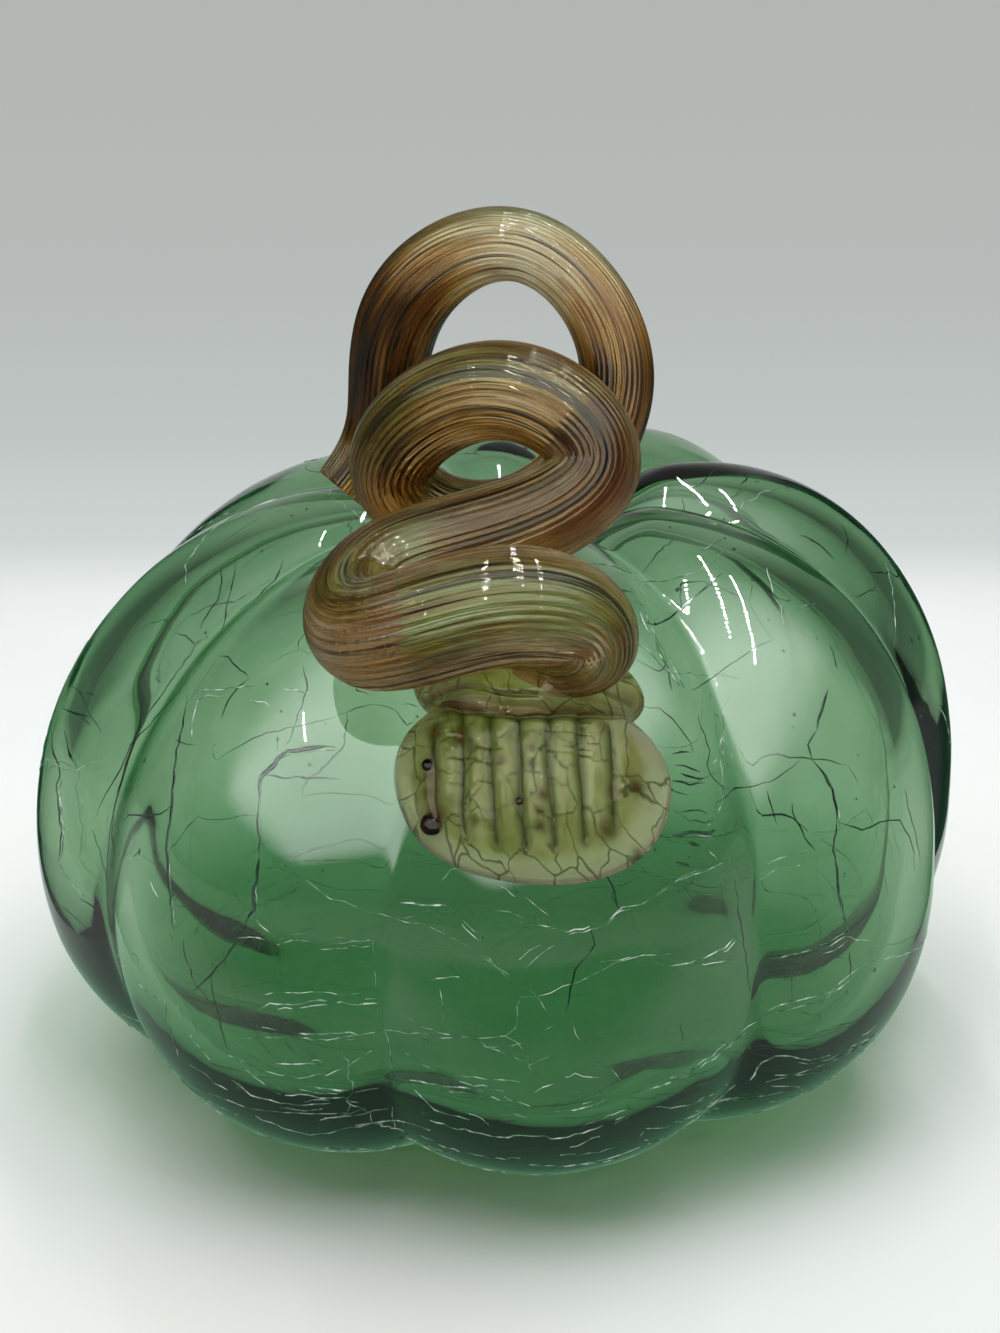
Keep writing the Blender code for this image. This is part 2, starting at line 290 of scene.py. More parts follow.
# the same and the strengths there: to the wall's sides and top, to a soft card's edge, to the room's sides
SIDE_DIM, TOP_DIM = (0.118, 0.20, 1.0, 0.32), (0.15, 0.30, 1.0, 0.60)
CARD_DIM, ROOM_DIM = (0.45, 1.0, 1.0, 0.0), (0.3, 0.8, 0.36, 0.30)
# lamp rows: the rearmost lamp of each, how far each next one is aside, and how many
LAMP_ROWS = ((-0.022, 0.03, 0.0, 26), (0.042, 0.11, 0.0028, 22), (0.118, 0.07, 0.0032, 24),
             (-0.24, -0.20, 0.0, 9))
LAMP_STEP, LAMP_HEIGHT, LAMP_SIZE, LAMP_WATTS = 0.0105, 0.42, (0.0060, 0.0036), 0.0115
# the lens that gloss sees in place of each lamp, and the soft panel above them
LENS_HEIGHT, LENS_HALF, LENS_GLOW = 0.418, (0.0036, 0.0018), 300.0
PANEL_PLACE, PANEL_SIZE, PANEL_WATTS = (-0.06, -0.08, 0.44), (0.56, 0.46), 1.30
# the roof cloth's glow in gloss, the floor's there and in glass, and the share of it that is unshaded
ROOF_GLOW, FLOOR_GLOW, FLOOR_SHARE = 6.0, 0.72, 0.7


def linear(code):
    """An sRGB hex colour as linear red, green, blue and a full alpha."""
    parts = [int(code[i:i + 2], 16) / 255.0 for i in (1, 3, 5)]
    return tuple(c / 12.92 if c <= 0.04045 else ((c + 0.055) / 1.055) ** 2.4 for c in parts) + (1.0,)


def node(tree, kind, settings=None, **links):
    """Add a shader node with settings (sockets, attributes, a ramp's stops, a range's span) and links."""
    made = tree.nodes.new("ShaderNode" + kind)
    for key, value in (settings or {}).items():
        if key == "span":
            for name, bound in zip(("From Min", "From Max", "To Min", "To Max"), value):
                made.inputs[name].default_value = bound
        elif key == "stops":
            while len(made.color_ramp.elements) < len(value):
                made.color_ramp.elements.new(0.5)
            for element, (place, code) in zip(made.color_ramp.elements, value):
                element.position = place
                element.color = linear(code)
        elif isinstance(key, int) or key in made.inputs:
            made.inputs[key].default_value = value
        else:
            setattr(made, key, value)
    for key, source in links.items():
        socket = made.inputs[int(key[1:])] if key[0] == "_" else made.inputs[key.replace("__", " ")]
        tree.links.new(source.outputs[0] if isinstance(source, bpy.types.Node) else source, socket)
    return made


def bare_material(name):
    """A new material with an empty node tree, and the function that adds nodes to it."""
    mat = bpy.data.materials.new(name)
    mat.use_nodes = True
    mat.node_tree.nodes.clear()
    return mat, partial(node, mat.node_tree)


def clear_in_shadow(add, glass, code):
    """The glass as it is, except that lamp light passes through it with a tint."""
    shade = add("BsdfTransparent", {"Color": linear(code)})
    return add("MixShader", _0=add("LightPath").outputs["Is Shadow Ray"], _1=glass, _2=shade)


def mottled(name, patch_mm, stops, surface):
    """A material whose colour wanders between the stops in patches of the given size."""
    mat, add = bare_material(name)
    place = add("TexCoord").outputs["Object"]
    patches = add("TexNoise", {"Scale": 1.0 / (patch_mm * MM)}, Vector=place)
    colour = add("ValToRGB", {"stops": stops}, _0=patches)
    face = add("BsdfPrincipled", surface, Base__Color=colour)
    add("OutputMaterial", Surface=face)
    return mat


def mesh_piece(name, verts, faces, mat, smooth=True):
    """A mesh object from arrays of points and faces."""
    mesh = bpy.data.meshes.new(name)
    faces = [tuple(face) for face in np.asarray(faces, dtype=object).tolist()]
    mesh.from_pydata(np.asarray(verts).tolist(), [], faces)
    mesh.update()
    mesh.polygons.foreach_set("use_smooth", [smooth] * len(mesh.polygons))
    mesh.materials.append(mat)
    ob = bpy.data.objects.new(name, mesh)
    bpy.context.scene.collection.objects.link(ob)
    return ob


def mark(ob, name, values):
    """Keep a number or a vector at each point of a piece for its material to read."""
    values = np.asarray(values, dtype=float)
    kind, key = ("FLOAT_VECTOR", "vector") if values.ndim == 2 else ("FLOAT", "value")
    ob.data.attributes.new(name, kind, "POINT").data.foreach_set(key, values.ravel())


def facing_out(ob, weld=False):
    """The same piece with all its faces turned outwards and, if asked, points that meet made one."""
    bm = bmesh.new()
    bm.from_mesh(ob.data)
    if weld:
        bmesh.ops.remove_doubles(bm, verts=bm.verts, dist=0.001 * MM)
    bmesh.ops.recalc_face_normals(bm, faces=bm.faces)
    bm.to_mesh(ob.data)
    bm.free()
    return ob


def ease(t):
    """Smooth step from 0 to 1."""
    t = np.clip(t, 0.0, 1.0)
    return t * t * (3.0 - 2.0 * t)


def shell_profile(rows):
    """Radius and height of the shell from hole to foot, at even steps along the glass."""
    p = np.linspace(HOLE_RADIUS / CROWN_RADIUS, 4.0, 4001)
    top = np.clip(np.pi / 2 * (2.0 - p), 0.0, np.pi / 2)
    low = np.clip(np.pi / 2 * (p - 2.0), 0.0, np.pi / 2)
    dip = POLE_HEIGHT + (CROWN_HEIGHT - POLE_HEIGHT) * (1.0 - np.cos(np.pi * np.clip(p, 0, 1))) / 2.0
    shoulder_r = CROWN_RADIUS + (BODY_RADIUS - CROWN_RADIUS) * np.cos(top) ** SHOULDER_POWER
    shoulder_z = BELLY_HEIGHT + (CROWN_HEIGHT - BELLY_HEIGHT) * np.sin(top) ** SHOULDER_POWER
    lower_r = FOOT_RADIUS + (BODY_RADIUS - FOOT_RADIUS) * np.cos(low) ** LOWER_POWER
    lower_z = BELLY_HEIGHT * (1.0 - np.sin(low) ** LOWER_POWER)
    foot_r = FOOT_RADIUS * (1.0 - np.clip(p - 3.0, 0, 1))
    r = np.select([p < 1.0, p < 2.0, p < 3.0], [CROWN_RADIUS * p, shoulder_r, lower_r], foot_r)
    z = np.select([p < 1.0, p < 2.0, p < 3.0], [dip, shoulder_z, lower_z], 0.0)
    run = np.concatenate([[0.0], np.cumsum(np.hypot(np.diff(r), np.diff(z)))])
    even = np.linspace(0.0, run[-1], rows)
    return np.interp(even, run, r), np.interp(even, run, z)


def shell_surface(r, z, turn, softer=np.zeros(8)):
    """Points of the lobed skin; turn runs 0 to 1 round from the first groove."""
    count = len(GROOVES)
    turn = np.mod(turn, 1.0)
    lobe = np.minimum((turn * count).astype(int), count - 1)
    share = turn * count - lobe
    width = np.mod(np.roll(GROOVES, -1) - GROOVES, 360.0)
    bearing = np.radians(GROOVES[lobe] + share * width[lobe])
    each = GROOVE_SOFT + softer
    soft = np.where(share < 0.5, each[lobe], np.roll(each, -1)[lobe])
    crest = np.sqrt(np.sin(np.pi * share) ** 2 + soft ** 2) / np.sqrt(1.0 + soft ** 2)
    swell = 1.0 + (SWELL[lobe] - 1.0) * np.sin(np.pi * share) ** 2
    scale = swell * (1.0 - GROOVE_DEPTH * (1.0 - crest ** LOBE_POWER))
    low = ease((r - FOOT_RADIUS) / (BODY_RADIUS - FOOT_RADIUS) / 0.5)
    weight = np.where(z < BELLY_HEIGHT, low, ease(r / CROWN_RADIUS))
    scale = 1.0 + (scale - 1.0) * weight
    height = BELLY_HEIGHT + (z - BELLY_HEIGHT) * scale
    up = np.maximum((height - BELLY_HEIGHT) / (CROWN_HEIGHT - BELLY_HEIGHT), 0.0)
    x = r * scale * np.sin(bearing) + LEAN * up ** 1.5
    return np.stack([x, -r * scale * np.cos(bearing), height + 0.0 * x], -1)


def grid_normals(points):
    """Outward normals of a grid of points that closes round its second direction."""
    down = np.gradient(points, axis=0)
    along = np.roll(points, -1, 1) - np.roll(points, 1, 1)
    n = np.cross(along, down)
    size = np.linalg.norm(n, axis=2, keepdims=True)
    n = n / np.maximum(size, 1e-12)
    n[-1] = n[-2].mean(0)
    return -n if n[len(n) // 2, 0] @ (points[len(n) // 2, 0] * (1, 1, 0)) < 0 else n


def ring_faces(rows, cols, start=0, flip=False):
    """Quads between neighbouring rings of points."""
    i = np.arange(rows - 1)[:, None] * cols
    j = np.arange(cols)[None, :]
    k = np.roll(np.arange(cols), -1)[None, :]
    quads = np.stack([i + j, i + cols + j, i + cols + k, i + k], -1).reshape(-1, 4) + start
    return quads[:, ::-1] if flip else quads


def capped_rings(rows, cols, start):
    """Faces of a closed bubble: quads between its rings and a cap at either end."""
    first = tuple(range(start, start + cols))
    last = tuple(i + cols * (rows - 1) for i in first)
    return ring_faces(rows, cols, start).tolist() + [first[::-1], last]


# Shell form, sampled once for everything that lies on it
ROWS, COLS = 300, 576
profile_r, profile_z = shell_profile(ROWS)
turns = np.arange(COLS) / COLS
shell_grid = shell_surface(profile_r[:, None], profile_z[:, None], turns[None, :])
# the wobble of hand-blown glass, slow and quick: waves in a metre and height; none on the foot
SLOW_WAVES, SLOW_MM, QUICK_WAVES, QUICK_MM = 38.0, 0.28, 130.0, 0.05
wobble = np.array([
    noise.noise(Vector(p) * SLOW_WAVES) * SLOW_MM
    + noise.noise(Vector(p) * QUICK_WAVES + Vector((7, 3, 1))) * QUICK_MM
    for p in shell_grid.reshape(-1, 3)]).reshape(ROWS, COLS, 1) * MM
shell_grid = shell_grid + grid_normals(shell_grid) * wobble * (profile_z > 3.0 * MM)[:, None, None]
shell_normals = grid_normals(shell_grid)
shell_tree = BVHTree.FromPolygons(shell_grid.reshape(-1, 3).tolist(), ring_faces(ROWS, COLS).tolist())
# the rows are evenly spaced, so any one step gives the length from hole to foot
shell_length = (ROWS - 1) * math.hypot(profile_r[60] - profile_r[59], profile_z[60] - profile_z[59])


def on_shell(turn, run):
    """Point and outward normal on the skin at a turn and a share of the way from hole to foot."""
    a = np.mod(turn, 1.0) * COLS
    b = np.clip(run, 0.0, 1.0) * (ROWS - 1)
    i = np.minimum(b.astype(int), ROWS - 2)
    j = a.astype(int) % COLS
    u = (b - i)[..., None]
    v = (a - np.floor(a))[..., None]
    found = []
    for grid in (shell_grid, shell_normals):
        near = grid[i, j] * (1 - v) + grid[i, (j + 1) % COLS] * v
        far = grid[i + 1, j] * (1 - v) + grid[i + 1, (j + 1) % COLS] * v
        found.append(near * (1 - u) + far * u)
    return found[0], found[1] / np.linalg.norm(found[1], axis=-1, keepdims=True)


def sea_green_glass():
    """Soda-lime glass coloured with iron and copper, blown: clear, wet-looking, greener where it is deep."""
    mat, add = bare_material("blown_sea_green_glass")
    place = add("TexCoord").outputs["Object"]
    # cords of slightly different glass about 12 mm wide, and heat ripples about 5 mm long
    cords = add("TexNoise", {"Scale": 1.0 / (12.0 * MM), "Detail": 2.0}, Vector=place)
    ripple = add("TexNoise", {"Scale": 1.0 / (5.0 * MM), "Detail": 1.0}, Vector=place)
    tint = add("ValToRGB", {"stops": ((0.35, "#dfeee1"), (0.65, "#edf7ee"))}, _0=cords)
    skin = add("Bump", {"Strength": 0.25, "Distance": 0.05 * MM}, Height=ripple)
    glass = add("BsdfPrincipled", {"Roughness": 0.015, "IOR": 1.5, "Transmission Weight": 1.0},
                Base__Color=tint, Normal=skin)
    depth = add("VolumeAbsorption", {"Color": linear("#75c776"), "Density": 112.0})
    add("OutputMaterial", Surface=clear_in_shadow(add, glass, "#eef7ef"), Volume=depth)
    return mat


def shell_glass():
    """The blown wall: the wobbling outer skin and a smooth inner skin, joined at the hole in the crown."""
    drop = np.clip(1.0 - profile_z / CROWN_HEIGHT, 0.0, 1.0)
    wall = WALL_TOP + (WALL_FOOT - WALL_TOP) * drop ** 6
    rounder = shell_surface(profile_r[:, None], profile_z[:, None], turns[None, :], INNER_SOFTER)
    inner = (rounder - grid_normals(rounder) * wall[:, None, None])[np.r_[0:ROWS - 1:2, ROWS - 1]]
    start = ROWS * COLS
    j = np.arange(COLS)
    k = np.roll(j, -1)
    faces = np.vstack([ring_faces(ROWS, COLS), ring_faces(len(inner), COLS, start, True),
                       np.stack([j, start + j, start + k, k], -1)])
    verts = np.vstack([shell_grid.reshape(-1, 3), inner.reshape(-1, 3)])
    return facing_out(mesh_piece("body_glass", verts, faces, sea_green_glass()), True)


def seen_on_skin(x, y):
    """Point and outward normal where the photograph's view through a pixel meets the skin, or None."""
    ahead = np.array((0.0, math.cos(LOOK_DOWN), -math.sin(LOOK_DOWN)))
    above = np.array((0.0, math.sin(LOOK_DOWN), math.cos(LOOK_DOWN)))
    view = ahead * LENS_PIXELS + (x - FRAME_WIDE / 2, 0.0, 0.0) - above * (y - FRAME_HIGH / 2)
    point, normal, _, _ = shell_tree.ray_cast(Vector(EYE), Vector(view).normalized())
    if point is None:
        return None
    return np.array(point), np.array(normal if normal.dot(Vector(view)) < 0 else -normal)


def front_lines(rng):
    """The drawn cracks of the front as ragged lines on the skin, each with its kind."""
    lines = []
    for row in CRACKS.strip().splitlines():
        kind, *places = row.split()
        places = [np.array(place.split(","), dtype=float) for place in places]
        pixels = [places[0]]
        for p, q in zip(places, places[1:]):
            steps = max(2, int(np.linalg.norm(q - p) / PIXEL_STEP))
            for i in range(1, steps + 1):
                stray = 0.0 if i == steps else PIXEL_STRAY
                aside = rng.uniform(-stray, stray), rng.uniform(-stray, stray)
                pixels.append(p + (q - p) * i / steps + aside)
        # a bold crack has finer pale lines beside part of it: painted highlights along its sides
        strands = [(kind, (0.0, 0.0), pixels)]
        if kind in "DW":
            for fine, rise in (("w", (2.5, 6.0)), ("h", (-6.5, -2.5))):
                first = rng.randrange(len(pixels))
                part = [p + (0.0, rng.uniform(-1.0, 1.0)) for p in pixels[first:first + len(pixels) // 2]]
                strands.append((fine, (rng.uniform(-3.0, 3.0), rng.uniform(*rise)), part))
        for shown, shift, strand in strands:
            line = []
            for pixel in strand:
                place = seen_on_skin(*(pixel + shift))
                if place is None:
                    continue
                # a drawn line that leaves one lobe for another behind it is cut there
                if line and np.linalg.norm(place[0] - line[-1][0]) > LOBE_JUMP:
                    lines.append((shown, line))
                    line = []
                line.append(place)
            lines.append((shown, line))
    # a pale crack is a painted glint, which shows only here and there, so it is drawn in short stretches
    glints = []
    for kind, line in lines:
        while kind in "Wwh" and len(line) > 6:
            cut = rng.randint(*GLINT_POINTS)
            glints.append((kind, line[:cut]))
            line = line[cut - 1 + (rng.random() < GLINT_BREAKS) * rng.randint(1, 3):]
        glints.append((kind, line))
    return [(kind, np.array(line)) for kind, line in glints if len(line) > 2]


def back_lines(rng):
    """Random cell borders for the rest of the skin: broad cells above, low wide ones at the foot."""
    knots = np.array((0.0, 0.52, 0.60, 0.76, 1.0)) * shell_length / MM
    stretch = np.cumsum(np.concatenate([[0.0], np.diff(knots) * (1.0, 1.5, 2.6, 1.5)]))
    seeds = []
    while len(seeds) < BACK_CELLS:
        best, far = None, -1.0
        for _ in range(4):
            c = (rng.uniform(0.0, ROUND_MM), rng.uniform(0.0, stretch[-1]))
            gap = 1e9
            for s in seeds:
                across = abs(c[0] - s[0])
                gap = min(gap, math.hypot(min(across, ROUND_MM - across), c[1] - s[1]))
            if gap > far:
                best, far = c, gap
        seeds.append(best)
    spread = [Vector((x + shift, y)) for shift in (-ROUND_MM, 0.0, ROUND_MM) for x, y in seeds]
    points, _, cells, _, _, _ = delaunay_2d_cdt(spread, [], [], 0, 1e-4)
    centres, sides = [], {}
    for n, (a, b, c) in enumerate(cells):
        p, q, r = points[a], points[b], points[c]
        d = 2.0 * (p.x * (q.y - r.y) + q.x * (r.y - p.y) + r.x * (p.y - q.y))
        pp, qq, rr = p.length_squared, q.length_squared, r.length_squared
        centres.append(((pp * (q.y - r.y) + qq * (r.y - p.y) + rr * (p.y - q.y)) / d,
                        (pp * (r.x - q.x) + qq * (p.x - r.x) + rr * (q.x - p.x)) / d))
        for e in ((a, b), (b, c), (c, a)):
            sides.setdefault(tuple(sorted(e)), []).append(n)
    lines = []
    for pair in sides.values():
        if len(pair) != 2:
            continue
        (x0, y0), (x1, y1) = centres[pair[0]], centres[pair[1]]
        long = math.hypot(x1 - x0, y1 - y0)
        if not 0.0 <= (x0 + x1) / 2 < ROUND_MM or not SIDE_LEAST <= long <= SIDE_MOST:
            continue
        if rng.random() < SIDES_LOST:
            continue
        steps = max(4, int(long / SIDE_STEP))
        sway = rng.uniform(-1, 1), rng.uniform(-1, 1)
        end = rng.uniform(0.45, 0.9) if rng.random() < SIDES_SHORT else 1.0
        line = []
        for i in range(int(steps * end) + 1):
            t = i / steps
            off = long * (0.07 * sway[0] * math.sin(math.pi * t) + 0.05 * sway[1] * math.sin(math.tau * t))
            off += rng.uniform(-0.45, 0.45) * min(1.0, 4.0 * t * (1.0 - t) + 0.15)
            x = x0 + (x1 - x0) * t - (y1 - y0) / long * off
            y = y0 + (y1 - y0) * t + (x1 - x0) / long * off
            line.append((x / ROUND_MM, np.interp(y, stretch, knots) / (shell_length / MM)))
        line = np.array(line)
        places = np.stack(on_shell(line[:, 0], line[:, 1]), 1)
        if line[:, 1].min() < 0.05 or line[:, 1].max() > 0.84:
            continue
        # low on the shell most cracks are pale with painted glints, higher up most are dark with painted dark
        # reflection
        kind = rng.choice("Wwwwd" if line[:, 1].mean() > 0.56 else "Dddddw")
        # the front has its drawn cracks, and only hairlines between them
        if places[:, 1].mean(0) @ TO_EYE > 0.1:
            if rng.random() < 0.6:
                continue
            kind = "h"
        lines.append((kind, places))
    # short painted glints lie round the foot like shelves
    for _ in range(FOOT_GLINTS):
        turn, run, long = rng.random(), rng.triangular(0.60, 0.80, 0.74), rng.uniform(0.006, 0.03)
        slope = rng.uniform(-0.4, 0.4)
        points = np.linspace(0.0, 1.0, rng.randint(4, 9))
        rise = slope * long * points + np.array([rng.uniform(-0.0014, 0.0014) for _ in points])
        lines.append((rng.choice("wwh"), np.stack(on_shell(turn + long * points, run + rise), 1)))
    return lines


def crack_lips(name, lines, mat, proud, rng):
    """Each crack line as a narrow raised lip on the skin, sunk a little into the glass."""
    verts, faces = [], []
    for kind, line in lines:
        point, normal = line[:, 0], line[:, 1]
        along = np.gradient(point, axis=0)
        along /= np.maximum(np.linalg.norm(along, axis=1), 1e-9)[:, None]
        aside = np.cross(normal, along)
        share = np.linspace(0.0, 1.0, len(line))
        taper = np.clip(np.minimum(share, 1.0 - share) * 6.0, 0.2, 1.0)
        wide = rng.uniform(*CRACK_WIDE[kind]) * MM * taper
        wide *= np.array([rng.uniform(0.65, 1.25) for _ in line])
        start = len(verts)
        for i in range(len(line)):
            foot, top = point[i] - normal[i] * LIP_SINK, point[i] + normal[i] * proud
            verts += [foot - aside[i] * wide[i] / 2, top - aside[i] * wide[i] * 0.3,
                      top + aside[i] * wide[i] * 0.3, foot + aside[i] * wide[i] / 2]
        for i in range(len(line) - 1):
            a = start + 4 * i
            for j in range(4):
                k = (j + 1) % 4
                faces.append((a + j, a + k, a + 4 + k, a + 4 + j))
        faces.append((start + 3, start + 2, start + 1, start))
        b = start + 4 * (len(line) - 1)
        faces.append((b, b + 1, b + 2, b + 3))
    return facing_out(mesh_piece(name, verts, faces, mat, False))


def seed_bubbles(mat, rng):
    """Fine seed bubbles in the wall, slightly drawn out by the blowing."""
    verts, faces = [], []
    for _ in range(SEEDS):
        turn, run = np.array([rng.random()]), np.array([rng.uniform(0.1, 0.72)])
        point, normal = on_shell(turn, run)
        centre = point[0] - normal[0] * rng.uniform(0.7, 2.6) * MM
        size = rng.choice((0.16, 0.2, 0.24, 0.34)) * MM
        start = len(verts)
        for i in range(1, SEED_RINGS + 1):
            t = math.pi * i / (SEED_RINGS + 1)
            for j in range(SEED_SIDES):
                u = math.tau * j / SEED_SIDES
                verts.append(centre + size * np.array((math.sin(t) * math.cos(u), math.sin(t) * math.sin(u),
                                                       SEED_DRAWN * math.cos(t))))
        faces += capped_rings(SEED_RINGS, SEED_SIDES, start)
    return facing_out(mesh_piece("seed_bubbles", verts, faces, mat))


def spline(stations, per_span):
    """Natural cubic through the stations, with unit steps between them."""
    count = len(stations)
    left = np.eye(count) * 4.0 + np.eye(count, k=1) + np.eye(count, k=-1)
    left[0] = np.eye(count)[0]
    left[-1] = np.eye(count)[-1]
    right = np.zeros_like(stations)
    right[1:-1] = 6.0 * (stations[2:] - 2.0 * stations[1:-1] + stations[:-2])
    bend = np.linalg.solve(left, right)
    u = np.linspace(0.0, count - 1.0, per_span * (count - 1) + 1)
    k = np.clip(u.astype(int), 0, count - 2)
    c = (u - k)[:, None]
    a = 1.0 - c
    return a * stations[k] + c * stations[k + 1] + ((a ** 3 - a) * bend[k] + (c ** 3 - c) * bend[k + 1]) / 6.0


def drawn_amber_glass():
    """Amber glass with oxide frit, twisted and drawn: clear, with rust patches and thin dark lines."""
    mat, add = bare_material("drawn_amber_glass")
    # grain runs round the rod as a unit circle and along it in centimetres
    grain = add("Attribute", {"attribute_name": "grain"}).outputs["Vector"]
    smoke = add("Attribute", {"attribute_name": "smoke"}).outputs["Fac"]
    # thin lines about 1.5 mm apart and 50 mm long, broad ones about 4 mm wide and 20 mm long,
    # and ragged rust patches about 4 mm wide and 14 mm long
    layers = []
    for lay, detail, ragged in (((6.0, 6.0, 0.20), 4.0, 0.65), ((2.2, 2.2, 0.5), 3.0, 0.5),
                                ((1.9, 1.9, 0.7), 5.0, 0.6)):
        drawn = add("Mapping", {"Scale": lay}, Vector=grain)
        layers.append(add("TexNoise", {"Scale": 1.0, "Detail": detail, "Roughness": ragged}, Vector=drawn))
    hair, broad, patch = layers
    clear = add("Math", {"operation": "MULTIPLY_ADD", 1: -0.6, 2: 0.42}, _0=smoke)
    tone = add("Math", {"operation": "ADD"}, _0=broad, _1=clear)
    colour = add("ValToRGB", {"stops": (
        (0.24, "#140e08"), (0.36, "#482d0e"), (0.46, "#9f6e2a"), (0.56, "#dbac60"), (0.70, "#f4e4b9"))},
        _0=tone)
    rusty = add("MapRange", {"span": (0.50, 0.60, 0.0, 0.65)}, _0=patch)
    # the thin dark lines are partly frit streaks and partly painted shade standing for the flutes' dark
    # refraction lines
    lines = add("MapRange", {"span": (0.40, 0.46, 0.95, 0.0)}, _0=hair)
    for share, code in ((rusty, "#87490f"), (lines, "#23150a")):
        colour = add("Mix", {"data_type": "RGBA", 7: linear(code)}, _0=share, _6=colour).outputs[2]
    glass = add("BsdfPrincipled", {
        "Roughness": 0.01, "IOR": 1.5, "Transmission Weight": 0.95, "Specular Tint": linear("#b5aea2")},
        Base__Color=colour)
    add("OutputMaterial", Surface=clear_in_shadow(add, glass, "#c9b48c"))
    return mat


def stem_rod():
    """The drawn rod: a swept round with fine, uneven flutes along it and a domed start."""
    line = spline(np.vstack([TUCK, ROUTE]), ROD_STEPS) * ROD_RADIUS
    line[:, :3] += STEM_SEAT
    first = line[0]
    ahead = line[1, :3] - first[:3]
    ahead /= np.linalg.norm(ahead)
    dome = []
    for i in range(DOME_ROWS):
        angle = math.pi / 2 * (i + 0.4) / DOME_ROWS
        back = first[:3] - ahead * first[3] * math.cos(angle) * 0.7
        dome.append(np.append(back, first[3] * math.sin(angle)))
    smoke = np.interp(np.arange(len(line)) / ROD_STEPS, np.arange(len(SMOKE)), SMOKE)
    smoke = np.concatenate([np.full(len(dome), smoke[0]), smoke])
    line = np.vstack([np.array(dome), line])
    centre, radius = line[:, :3], line[:, 3]
    tangent = np.gradient(centre, axis=0)
    tangent /= np.linalg.norm(tangent, axis=1)[:, None]
    run = np.concatenate([[0.0], np.cumsum(np.linalg.norm(np.diff(centre, axis=0), axis=1))])
    side = np.zeros_like(tangent)
    v = np.array((0.0, 0.0, 1.0))
    for i, t in enumerate(tangent):
        v = v - t * (v @ t)
        v = v / np.linalg.norm(v)
        side[i] = v
    other = np.cross(tangent, side)
    rows, cols = len(line), FLUTES * FLUTE_SIDES
    angle = np.arange(cols) / cols * math.tau
    depth = np.empty((rows, cols))
    for i in range(rows):
        s = run[i] * ROD_WAVES
        for j in range(cols):
            c, d = math.cos(angle[j]), math.sin(angle[j])
            drift = 0.9 * noise.noise(Vector((c * 1.5, d * 1.5, s * 0.5)))
            strength = 0.65 + 0.6 * noise.noise(Vector((c * 2.5 + 9.0, d * 2.5, s * 0.8)))
            ridge = abs(math.sin(0.5 * (angle[j] * FLUTES + drift * 4.0)))
            depth[i, j] = (ridge - 0.6) * strength * FLUTE_DEPTH
            depth[i, j] += ROD_WOBBLE * noise.noise(Vector((c * 0.9 + 4.0, d * 0.9, s * 0.55)))
    depth *= np.clip(radius / (4.0 * MM), 0.1, 1.0)[:, None]
    reach = radius[:, None] + depth
    points = centre[:, None] + reach[..., None] * (
        np.cos(angle)[None, :, None] * side[:, None] + np.sin(angle)[None, :, None] * other[:, None])
    verts = np.vstack([points.reshape(-1, 3), centre[:1], centre[-1:]])
    j = np.arange(cols)
    k = np.roll(j, -1)
    start, last = rows * cols, (rows - 1) * cols
    faces = ring_faces(rows, cols).tolist()
    faces += [(start, a, b) for a, b in zip(j.tolist(), k.tolist())]
    faces += [(start + 1, last + b, last + a) for a, b in zip(j.tolist(), k.tolist())]
    ob = mesh_piece("stem_rod", verts, faces, drawn_amber_glass())
    grain = np.zeros((len(verts), 3))
    grain[:start, 0] = np.tile(np.cos(angle), rows)
    grain[:start, 1] = np.tile(np.sin(angle), rows)
    grain[:start, 2] = np.repeat(run / (10.0 * MM), cols)
    mark(ob, "grain", grain)
    mark(ob, "smoke", np.concatenate([np.repeat(smoke, cols), smoke[[0, -1]]]))
    return facing_out(ob)


